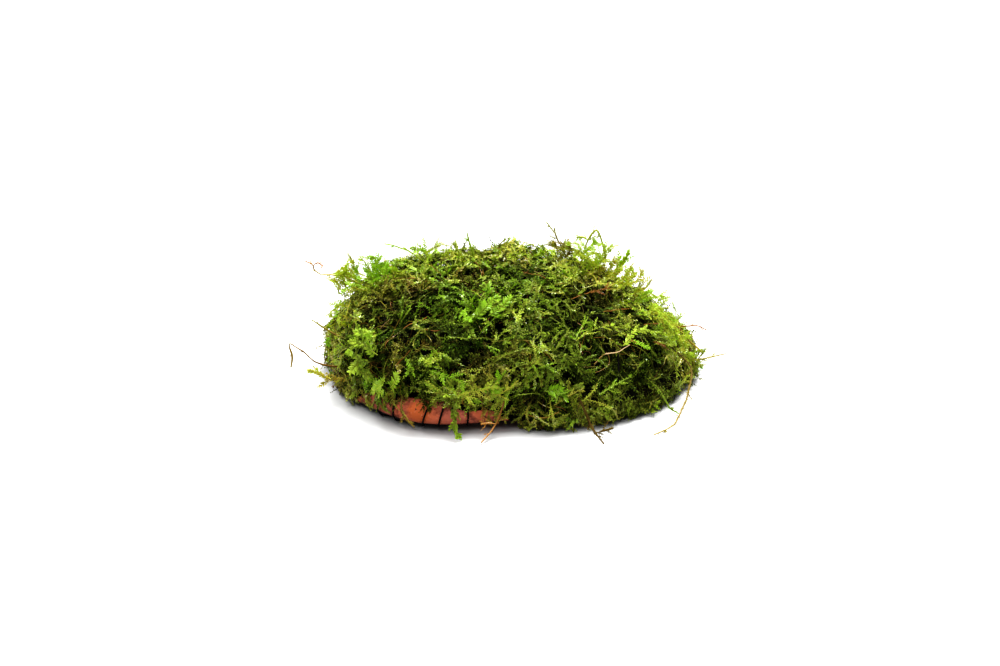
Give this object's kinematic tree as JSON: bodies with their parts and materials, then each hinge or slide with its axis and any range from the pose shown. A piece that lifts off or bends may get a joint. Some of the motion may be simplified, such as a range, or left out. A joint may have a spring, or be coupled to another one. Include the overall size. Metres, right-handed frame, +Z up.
{
  "type": "moss clump",
  "caption": "Dense tangled clump of wet green moss bound with black thread onto a curved oval shard of terracotta, with loose stems straying from it.",
  "frame": {"origin": "on the surface it stands on, under the middle of its box", "axes": "+X along the clump to its right, -Y towards its bare clay front rim, +Z up"},
  "size_m": [0.1282, 0.1121, 0.0449],
  "materials": {
    "terracotta": "matte, dirt specked",
    "moss": "wet, leafy",
    "thread": "twisted cotton",
    "moss_stem_green": "wet, leafy",
    "moss_stem_olive": "wet, leafy",
    "moss_stem_brown": "wet, wiry"
  },
  "bodies": {
    "root": {"terracotta_shard": "terracotta", "moss_mat": "moss", "binding_thread": "thread", "sprig_left_low": "moss_stem_green", "sprig_top_left": "moss_stem_green", "sprig_top": "moss_stem_green", "sprig_top_right": "moss_stem_green", "frond_front": "moss_stem_green", "sprig_right_curl": "moss_stem_green", "sprig_back_low": "moss_stem_green", "stem_top_arch": "moss_stem_olive", "stem_right_hair": "moss_stem_olive", "stem_trailing": "moss_stem_olive", "sprig_rim": "moss_stem_olive", "stem_back_right": "moss_stem_olive", "stem_top_hair": "moss_stem_olive", "stem_left_long": "moss_stem_brown", "stem_left_upper": "moss_stem_brown", "stem_left_twig": "moss_stem_brown", "stem_right_tan": "moss_stem_brown", "stem_right_brown": "moss_stem_brown", "twig_front": "moss_stem_brown", "root_front": "moss_stem_brown", "stem_back_left": "moss_stem_brown"}
  },
  "joints": []
}
